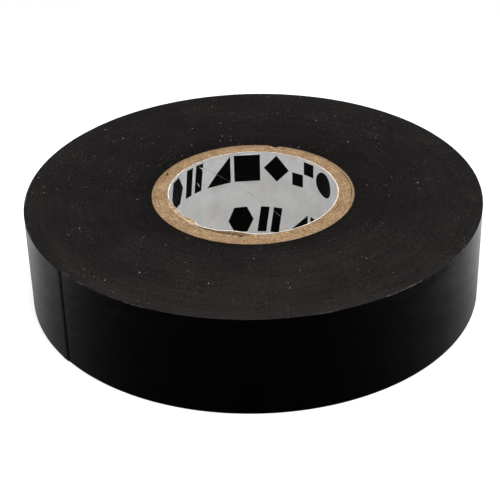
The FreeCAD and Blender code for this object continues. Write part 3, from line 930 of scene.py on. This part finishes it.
def build_ply(num):
    node = "core_ply_%d" % num
    r0 = R_LINER_OUT + PLY * (num - 1)
    r1 = r0 + PLY
    seam_open = {1: 0.45, 2: 0.05, 3: 0.10, 4: 0.35, 5: 1.25}[num]
    cols = 720
    # one cross-section loop: inner wall up, slit face outwards, outer wall down, bottom inwards
    wall_z = [0.0, 0.3] + [1.1 + 1.21 * i for i in range(14)] + [17.7, 18.25, 18.65, 18.88]
    tops = [0.0, 0.05, 0.11, 0.19, 0.29, 0.39, 0.50, 0.61, 0.71, 0.81, 0.89, 0.95, 1.0]
    bots = [1.0, 0.88, 0.6, 0.35, 0.12, 0.0]
    loop = [("i", z, 0.0) for z in wall_z[1:]] + [("t", H, f) for f in tops]
    loop += [("x", z, 1.0) for z in wall_z[:0:-1]] + [("b", 0.0, f) for f in bots]
    per = len(loop)
    u = np.linspace(0, 1, cols + 1)
    verts = np.zeros((cols + 1, per, 3))
    for j, (kind, z, f) in enumerate(loop):
        d = H - z
        half = 0.5 * (0.3 + seam_open * math.exp(-(d / 0.55) ** 2)) / (r0 + f * PLY)
        half = math.degrees(half)
        if kind in "tb":
            half *= 1.0 + 0.22 * math.sin(f * 9.0 + num)
        s = float(seam_angle(node, z))
        th = s + half + u * (360.0 - 2 * half)
        r = np.full(cols + 1, r0 + f * PLY)
        zz = np.full(cols + 1, float(z))
        arc = th * (r0 / 57.3)
        if kind == "t":
            rough = 0.020 * noise2(th / 0.9, f * 5.0 + 10 * num, 41, 400)
            rough = rough + 0.014 * noise2(th / 2.3, f * 2.2 + 10 * num, 42)
            low = 0.012 * noise1(th / 24.0, 43 + num, 15)
            if num > 1:
                gi = groove(r0, th)
            else:
                # the innermost ply's lip has sunk away behind the loose liner
                t = th % 360.0
                gap = smoothstep(t, 229.0, 236.0) * (1 - smoothstep(t, 261.0, 268.0))
                gi = 0.02 + 0.02 * (noise1(th / 3.0, 77, 120) + 1) + gap * (0.22 + 0.08 * noise1(th / 2.0, 78, 180))
            go = groove(r1, th)
            wi = 0.10 + 0.05 * noise1(th / 5.0, 51 + num, 72)
            wo = 0.10 + 0.05 * noise1(th / 4.0, 61 + num, 90)
            edge = gi * np.exp(-(f / wi) ** 1.6) + go * np.exp(-((1 - f) / wo) ** 1.6)
            zz = H - 0.045 + rough + low - edge
            # end grain next to the butt seam is frayed
            near = np.minimum(u, 1 - u) * 2 * math.pi * r0
            zz = zz - 0.10 * np.exp(-(near / 0.35) ** 2)
        if kind in "ix":
            r = r + (0.012 if kind == "i" else -0.012) * (1 if z < H - 0.5 else 0.3) * (0.5 + 0.5 * noise2(th / 3.0, z * 0.8, 71 + num))
            if z > 18.6:
                zz = zz - 0.06
        if kind == "b":
            zz = 0.020 + 0.012 * noise2(th / 1.2, f * 4.0 + 3 * num, 81) + 0.05 * np.exp(-(min(f, 1 - f) / 0.12) ** 2)
        if num == 1:
            lean, _ = bulge(th, zz)
            r = r - lean * (1 - f) ** 1.3
            if kind == "t":
                fuzz = 0.5 + 0.5 * noise2(th / 1.1, f * 6.0, 211, 327)
                zz = zz + lean * (1 - f) * (0.10 + 0.16 * fuzz)
        a = np.radians(th)
        verts[:, j, 0] = r * np.cos(a)
        verts[:, j, 1] = r * np.sin(a)
        verts[:, j, 2] = zz
    faces = grid_quads(cols + 1, per, closed_v=True)
    kinds = []
    for j in range(per):
        a, b = loop[j][0], loop[(j + 1) % per][0]
        kinds.append(0 if "t" in (a, b) or "b" in (a, b) else 1)
    index = kinds * cols
    # butt ends: a fan of strips between the inner and the outer side of the section
    for c, flip in ((0, False), (cols, True)):
        base = c * per
        n_in = len(wall_z) - 1
        inner = [base + j for j in range(n_in)]
        outer = [base + n_in + len(tops) + (n_in - 1 - j) for j in range(n_in)]
        top = [base + n_in + j for j in range(len(tops))]
        bot = [base + 2 * n_in + len(tops) + (len(bots) - 1 - j) for j in range(len(bots))]
        polys = [[inner[j], outer[j], outer[j + 1], inner[j + 1]] for j in range(n_in - 1)]
        polys.append([inner[-1], outer[-1]] + top[::-1])
        polys.append([outer[0], inner[0]] + bot)
        for p in polys:
            faces.append(p[::-1] if flip else p)
            index.append(0)
    return verts.reshape(-1, 3), faces, index


for num in range(1, 6):
    v, f, i = build_ply(num)
    ob = build("kraft_ply_%d" % num, v, f, [MAT_KRAFT, MAT_KRAFT_WALL], i, sharp=None)
    fix_normals(ob)
    ob.data.set_sharp_from_angle(angle=math.radians(60))
    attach(ob, "roll")
    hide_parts("core_ply_%d" % num)


# ---------------------------------------------------------------------------
# Liner: plain geometric print marks cut into the sheet, so that they stay crisp
# ---------------------------------------------------------------------------
def clip(poly, nx, ny, d):
    """The part of a convex polygon with nx*x + ny*y <= d."""
    out = []
    for i, p in enumerate(poly):
        q = poly[(i + 1) % len(poly)]
        fp = nx * p[0] + ny * p[1] - d
        fq = nx * q[0] + ny * q[1] - d
        if fp <= 0:
            out.append(p)
        if (fp < 0 < fq) or (fq < 0 < fp):
            t = fp / (fp - fq)
            out.append((p[0] + t * (q[0] - p[0]), p[1] + t * (q[1] - p[1])))
    return out if len(out) > 2 else []


MARK_H = 5.75
MARK_W = 5.1


def mark(kind):
    """Convex polygons of one print mark, inside MARK_W by MARK_H mm."""
    w, h = MARK_W, MARK_H
    c = (w / 2, h / 2)
    if kind == "disc":
        return [[(c[0] + 2.55 * math.cos(2 * math.pi * i / 48), c[1] + 2.55 * math.sin(2 * math.pi * i / 48)) for i in range(48)]]
    if kind == "bars":
        return [[(x, 0), (x + 1.75, 0), (x + 2.55, h), (x + 0.8, h)] for x in (0.0, 2.6)]
    if kind == "wedge":
        return [[(0, 0), (w, 0), (w, h)]]
    if kind == "square":
        return [[(0, 0), (w, 0), (w, h), (0, h)]]
    if kind == "diamond":
        return [[(c[0], 0), (w, c[1]), (c[0], h), (0, c[1])]]
    if kind == "checker":
        return [[(0, 0), (w * 0.48, 0), (w * 0.48, h * 0.48), (0, h * 0.48)],
                [(w * 0.52, h * 0.52), (w, h * 0.52), (w, h), (w * 0.52, h)]]
    if kind == "hexagon":
        return [[(0.0, h / 2), (w * 0.25, 0), (w * 0.75, 0), (w, h / 2), (w * 0.75, h), (w * 0.25, h)]]
    raise ValueError(kind)


SEQUENCE = ["hexagon", "bars", "wedge", "square", "diamond", "checker", "disc"]
MARK_PITCH = 5.83


def print_polygons():
    """Marks as (angle in degrees, z in mm) polygons, two staggered rows round the bore."""
    out = []
    deg = 180.0 / math.pi / R_LINER_IN
    for z0, start in ((12.72, 167.4), (1.15, 108.6)):
        for rep in range(2):
            for i, kind in enumerate(SEQUENCE):
                left = start - rep * 180.0 - i * MARK_PITCH * deg
                for poly in mark(kind):
                    out.append([(left - x * deg, z0 + y) for x, y in poly])
    return out


def scratch_polygons():
    """Places where the print is scraped off: long thin slivers, (angle, z)."""
    out = []
    for (t0, z0), (t1, z1), w in (((131.2, 17.95), (118.6, 15.55), 0.17), ((129.0, 17.1), (123.5, 16.2), 0.10),
                                  ((133.4, 14.9), (131.0, 13.6), 0.06)):
        d = np.array([(t1 - t0) / 3.67, z1 - z0])
        n = np.array([-d[1], d[0]]) / np.hypot(*d) * w
        mid = [(0.3, 0.9), (0.62, 1.0), (0.85, 0.5)]
        up = [(t0 + (t1 - t0) * f + n[0] * a * 3.67, z0 + (z1 - z0) * f + n[1] * a) for f, a in mid]
        dn = [(t0 + (t1 - t0) * f - n[0] * a * 3.67, z0 + (z1 - z0) * f - n[1] * a) for f, a in mid[::-1]]
        out.append([(t0, z0)] + up + [(t1, z1)] + dn)
    return out


def build_liner():
    node = "core_liner"
    r = R_LINER_IN
    around = 2 * math.pi * r
    half = 0.04
    lo, hi = half, around - half

    def sheet_polys(polys):
        """Polygons moved to the sheet's own coordinates and cut at its seam edges."""
        out = []
        for poly in polys:
            tc = sum(p[0] for p in poly) / len(poly)
            zc = sum(p[1] for p in poly) / len(poly)
            sc = ((tc - float(seam_angle(node, zc))) % 360.0) * math.pi / 180 * r
            pts = []
            for t, z in poly:
                ds = (float(wrap_deg(t - tc)) - float(seam_angle(node, z) - seam_angle(node, zc))) * math.pi / 180 * r
                pts.append((sc + ds, z))
            for shift in (-around, 0.0, around):
                p = [(a + shift, b) for a, b in pts]
                p = clip(clip(p, 1, 0, hi - 1e-4), -1, 0, -(lo + 1e-4))
                if p:
                    out.append(p)
        return out

    ink = sheet_polys(print_polygons())
    bare = sheet_polys(scratch_polygons())
    zr = list(np.linspace(0, 0.6, 3)) + list(np.arange(1.0, 17.9, 0.42)) + [18.1, 18.3, 18.48, 18.62, 18.74, 18.84, 18.93, H]
    ns = 324
    ss = np.linspace(lo, hi, ns)
    pts, edges = [], []
    rows = []
    polys = ink + bare
    seg = np.array([[p[i][0], p[i][1], p[(i + 1) % len(p)][0], p[(i + 1) % len(p)][1]] for p in polys for i in range(len(p))])
    for zi, z in enumerate(zr):
        border_row = zi in (0, len(zr) - 1)
        stagger = 0.0 if border_row or zi % 2 == 0 else 0.5 * (ss[1] - ss[0])
        for si, s in enumerate(ss):
            border = border_row or si in (0, ns - 1)
            x = s if border else s + stagger
            if not border:
                ax, az = seg[:, 0], seg[:, 1]
                dx, dz = seg[:, 2] - ax, seg[:, 3] - az
                t = np.clip(((x - ax) * dx + (z - az) * dz) / (dx * dx + dz * dz), 0, 1)
                if np.min((ax + t * dx - x) ** 2 + (az + t * dz - z) ** 2) < 0.10 ** 2:
                    continue
                if stagger and si >= ns - 2:
                    continue
            rows.append((zi, si, len(pts)))
            pts.append((x, z))
    at = {(zi, si): n for zi, si, n in rows}
    nz = len(zr)
    edges += [(at[(0, i)], at[(0, i + 1)]) for i in range(ns - 1)]
    edges += [(at[(nz - 1, i)], at[(nz - 1, i + 1)]) for i in range(ns - 1)]
    edges += [(at[(i, 0)], at[(i + 1, 0)]) for i in range(nz - 1)]
    edges += [(at[(i, ns - 1)], at[(i + 1, ns - 1)]) for i in range(nz - 1)]
    for p in polys:
        base = len(pts)
        pts += [(float(a), float(b)) for a, b in p]
        edges += [(base + i, base + (i + 1) % len(p)) for i in range(len(p))]
    out_v, out_e, out_f, _, _, _ = delaunay_2d_cdt([Vector(p) for p in pts], edges, [], 0, 1e-5, False)
    sv = np.array([(v[0], v[1]) for v in out_v])
    tri = np.array([list(f) for f in out_f])
    cen = sv[tri].mean(1)

    def inside(poly):
        p = np.array(poly)
        area = 0.5 * np.sum(p[:, 0] * np.roll(p[:, 1], -1) - np.roll(p[:, 0], -1) * p[:, 1])
        if area < 0:
            p = p[::-1]
        ok = np.ones(len(cen), bool)
        q = np.roll(p, -1, 0)
        for a, b in zip(p, q):
            ok &= (b[0] - a[0]) * (cen[:, 1] - a[1]) - (b[1] - a[1]) * (cen[:, 0] - a[0]) > 0
        return ok

    kind = np.zeros(len(tri), int)
    for p in ink:
        kind[inside(p)] = 1
    for p in bare:
        kind[inside(p)] = 0

    def place(outer):
        s, z = sv[:, 0], sv[:, 1].copy()
        th = seam_angle(node, z) + np.degrees(s / r)
        d = H - z
        board, loose = bulge(th, z)
        rr = np.full(len(s), r)
        tear = np.clip(0.5 + 0.5 * noise1(th / 1.7, 91, 212) + 0.35 * noise1(th / 9.0, 98, 40), 0, 1)
        rr = rr + 0.010 * noise2(th / 5.0, z * 0.5, 92) * smoothstep(d, 0.0, 0.5)
        # the rim is a torn, slightly flared and wavy edge
        flare = np.exp(-(d / 0.16) ** 2)
        # where the cut has burred over the board it is broader
        burr = np.exp(-(wrap_deg(th - 166.0) / 17.0) ** 2) + 0.7 * np.exp(-(wrap_deg(th - 4.0) / 22.0) ** 2)
        burr = burr * np.clip(0.55 + 0.45 * noise1(th / 2.6, 99, 138), 0, 1)
        wave = 0.020 * noise1(th / 2.2, 93, 164) + 0.018 * noise1(th / 0.9, 94, 400)
        rise = 0.035 + 0.030 * noise1(th / 4.0, 95, 90) + 0.018 * noise1(th / 1.1, 96, 327)
        rr = rr + wave * flare - 0.020 * flare - (board + loose)
        z = z + (rise + 0.14 * np.clip(board + loose, 0, 1)) * flare
        if outer:
            thick = (R_LINER_OUT - R_LINER_IN) + flare * (-0.055 + 0.105 * tear + 0.16 * burr)
            rr = rr + thick
            z = z - flare * (0.035 - 0.02 * tear)
        low = np.exp(-(sv[:, 1] / 0.18) ** 2)
        z = z + low * (0.025 + 0.02 * noise1(th / 3.0, 97, 120))
        a = np.radians(th)
        return np.stack([rr * np.cos(a), rr * np.sin(a), z], -1)

    inner, outer = place(False), place(True)
    n = len(sv)
    count = {}
    for f in tri:
        for a, b in ((f[0], f[1]), (f[1], f[2]), (f[2], f[0])):
            count.setdefault((min(a, b), max(a, b)), []).append((a, b))
    rim = [e[0] for e in count.values() if len(e) == 1]
    # outwards on the bore side means towards the axis
    faces = [list(map(int, f[::-1])) for f in tri] + [[int(v) + n for v in f] for f in tri]
    index = list(kind) + [3] * len(tri)
    for a, b in rim:
        faces.append([int(a), int(b), int(b) + n, int(a) + n])
        index.append(2)
    return np.vstack([inner, outer]), faces, index


lv, lf, li = build_liner()
liner = build("printed_liner", lv, lf, [MAT_PAPER, MAT_INK, MAT_TORN, MAT_KRAFT_WALL], li, sharp=None)
fix_normals(liner)
liner.data.set_sharp_from_angle(angle=math.radians(50))
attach(liner, "roll")
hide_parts("core_liner")


# ---------------------------------------------------------------------------
# Camera, light and floor
# ---------------------------------------------------------------------------
def camera():
    cam = bpy.data.cameras.new("camera")
    ob = bpy.data.objects.new("camera", cam)
    bpy.context.scene.collection.objects.link(ob)
    pitch, roll = math.radians(31.50578), math.radians(-1.34129)
    c, s = math.cos(pitch), math.sin(pitch)
    right = Vector((1, 0, 0))
    fwd = Vector((0, c, -s))
    down = Vector((0, -s, -c))
    ax = math.cos(roll) * right - math.sin(roll) * down
    ay = math.sin(roll) * right + math.cos(roll) * down
    rot = Matrix((ax, -ay, -fwd)).transposed().to_4x4()
    rot.translation = Vector((-0.00082517872, -0.22968023484, 0.14708088509))
    ob.matrix_world = rot
    cam.sensor_width = 36.0
    cam.sensor_fit = "HORIZONTAL"
    cam.lens = 1422.97 * 36.0 / 500.0
    cam.clip_start = 0.01
    cam.clip_end = 20.0
    bpy.context.scene.camera = ob


def world():
    w = bpy.data.worlds.new("studio")
    bpy.context.scene.world = w
    w.use_nodes = True
    k = Nodes(w.node_tree)
    out = k.add("ShaderNodeOutputWorld")
    bg = k.add("ShaderNodeBackground")
    pale = k.add("ShaderNodeBackground")
    pale.inputs[0].default_value = (1.0, 1.0, 1.0, 1.0)
    pale.inputs[1].default_value = 1.0
    path = k.add("ShaderNodeLightPath")
    mix = k.add("ShaderNodeMixShader")
    k.t.links.new(path.outputs["Is Camera Ray"], mix.inputs[0])
    k.t.links.new(bg.outputs[0], mix.inputs[1])
    k.t.links.new(pale.outputs[0], mix.inputs[2])
    k.t.links.new(mix.outputs[0], out.inputs[0])
    d = k.add("ShaderNodeTexCoord").outputs["Generated"]
    x, y, z = k.xyz(d)
    flat = k.math("SQRT", k.math("ADD", k.math("MULTIPLY", x, x), k.math("MULTIPLY", y, y)))
    cosaz = k.math("DIVIDE", k.math("MULTIPLY", y, -1.0), k.math("MAXIMUM", flat, 1e-4))
    az = k.math("DIVIDE", k.math("ARCCOSINE", cosaz), math.pi)          # 0 in front, 1 behind
    # what the upright wall mirrors, round the horizon and below it
    right = [(0.0, 0.003), (0.12, 0.007), (0.25, 0.019), (0.37, 0.050), (0.49, 0.10), (0.605, 0.20),
             (0.72, 0.37), (0.79, 0.46), (0.85, 0.50), (0.885, 0.50), (0.92, 0.50), (1.0, 0.52)]
    left = [(0.0, 0.003), (0.12, 0.007), (0.25, 0.017), (0.37, 0.040), (0.49, 0.088), (0.605, 0.17),
            (0.72, 0.31), (0.79, 0.40), (0.85, 0.43), (0.885, 0.39), (0.92, 0.385), (1.0, 0.46)]
    side = k.math("MULTIPLY", k.math("ADD", k.math("MULTIPLY", x, 1.6), 0.5), 1.0, clamp=True)
    around = k.mix(side, k.ramp(az, left), k.ramp(az, right))
    # the pale studio above
    up = k.ramp(z, [(0.0, 0.0), (0.30, 0.05), (0.52, 0.14), (0.72, 0.30), (1.0, 0.45)])
    share = k.remap(z, -0.05, 0.42, 0.0, 1.0)
    # a little paler towards the horizon, as a lit table's far edge is
    tilt = k.math("DIVIDE", k.math("SUBTRACT", k.math("ADD", z, 0.574), k.math("MULTIPLY", az, 0.062)), 0.014)
    tilt = k.math("ADD", 1.0, k.math("MULTIPLY", k.math("MINIMUM", k.math("MAXIMUM", tilt, -2.0), 2.0), 0.26))
    around = k.vec("SCALE", around, scale=tilt)
    # a low pale window in front, which reaches the upper part of the bore
    low = k.math("MULTIPLY", k.remap(z, 0.03, 0.16, 0.0, 1.0), k.remap(z, 0.42, 0.62, 1.0, 0.0))
    ahead = k.remap(k.math("MULTIPLY", y, -1.0), 0.15, 0.75, 0.0, 1.0)
    window = k.vec("SCALE", k.join(0.96, 1.0, 1.04), scale=k.math("MULTIPLY", k.math("MULTIPLY", low, ahead), 0.5))
    col = k.vec("ADD", k.mix(share, around, up), window)
    # pale screens at both sides, seen by matte surfaces
    band = k.math("MULTIPLY", k.remap(z, 0.10, 0.35, 0.0, 1.0), k.remap(z, 0.75, 0.95, 1.0, 0.0))
    screens = k.math("MULTIPLY", k.math("MULTIPLY", k.math("POWER", k.math("ABSOLUTE", x), 4.0), band), k.math("MULTIPLY", path.outputs["Is Diffuse Ray"], 1.5))
    col = k.vec("ADD", col, k.vec("SCALE", k.join(0.98, 1.0, 1.02), scale=screens))
    k.feed(bg.inputs[0], col)
    bg.inputs[1].default_value = 1.0


def floor():
    m, k, bsdf, mm = material("pale_floor", Roughness=0.9, IOR=1.4)
    bsdf.inputs["Specular IOR Level"].default_value = 0.1
    n = k.noise(mm, 0.02, 2.0, 0.5)
    k.feed(bsdf.inputs["Base Color"], k.ramp(n, [(0.2, (0.93, 0.93, 0.93)), (0.8, (0.95, 0.95, 0.95))]))
    bsdf.inputs["Emission Color"].default_value = (1.0, 1.0, 1.0, 1.0)
    bsdf.inputs["Emission Strength"].default_value = 0.32
    # the part is lit by a duller table than the one that is seen
    dull = k.add("ShaderNodeBsdfDiffuse")
    dull.inputs[0].default_value = (0.60, 0.60, 0.60, 1.0)
    # further out the table is as pale as the room behind it
    plain = k.add("ShaderNodeEmission")
    plain.inputs[0].default_value = (1.0, 1.0, 1.0, 1.0)
    fade = k.add("ShaderNodeMixShader")
    r = polar(k, mm)[0]
    k.feed(fade.inputs[0], k.remap(r, 55.0, 150.0, 0.0, 1.0))
    k.t.links.new(bsdf.outputs[0], fade.inputs[1])
    k.t.links.new(plain.outputs[0], fade.inputs[2])
    mix = k.add("ShaderNodeMixShader")
    k.t.links.new(k.add("ShaderNodeLightPath").outputs["Is Camera Ray"], mix.inputs[0])
    k.t.links.new(dull.outputs[0], mix.inputs[1])
    k.t.links.new(fade.outputs[0], mix.inputs[2])
    # the table is see-through from below, and where the part stands on it, so that the
    # lower end face can be seen and gets light
    clear = k.add("ShaderNodeBsdfTransparent")
    under = k.math("MULTIPLY", k.remap(r, 17.0, 17.2, 0.0, 1.0), k.remap(r, 40.0, 40.2, 1.0, 0.0))
    back = k.add("ShaderNodeNewGeometry").outputs["Backfacing"]
    see = k.add("ShaderNodeMixShader")
    k.feed(see.inputs[0], k.math("MAXIMUM", back, under))
    k.t.links.new(mix.outputs[0], see.inputs[1])
    k.t.links.new(clear.outputs[0], see.inputs[2])
    out = [x for x in k.n if x.type == "OUTPUT_MATERIAL"][0]
    k.t.links.new(see.outputs[0], out.inputs[0])
    me = bpy.data.meshes.new("floor")
    n = 96
    verts = [(0, 0, 0)] + [(1.6 * math.cos(2 * math.pi * i / n), 1.6 * math.sin(2 * math.pi * i / n), 0) for i in range(n)]
    me.from_pydata(verts, [], [[0, 1 + i, 1 + (i + 1) % n] for i in range(n)])
    me.materials.append(m)
    ob = bpy.data.objects.new("floor", me)
    ob.location = (0, 0, -0.00002)
    bpy.context.scene.collection.objects.link(ob)
    ob.visible_glossy = False


def lamp(name, where, target, size, power):
    li = bpy.data.lights.new(name, "AREA")
    li.shape = "DISK"
    li.size = size
    li.energy = power
    li.color = (1.0, 0.985, 0.965)
    ob = bpy.data.objects.new(name, li)
    ob.location = where
    ob.rotation_euler = (Vector(where) - Vector(target)).to_track_quat("Z", "Y").to_euler()
    bpy.context.scene.collection.objects.link(ob)
    return ob


camera()
world()
floor()
lamp("softbox", (0.03, -0.02, 0.85), (0, 0, 0.01), 0.8, 7.0)
lamp("front_fill", (0.02, -0.20, 0.16), (0, -0.02, 0.0), 0.12, 0.07)

scene = bpy.context.scene
scene.view_settings.view_transform = "Standard"
scene.view_settings.look = "None"
scene.view_settings.exposure = 0.0
scene.view_settings.gamma = 1.0
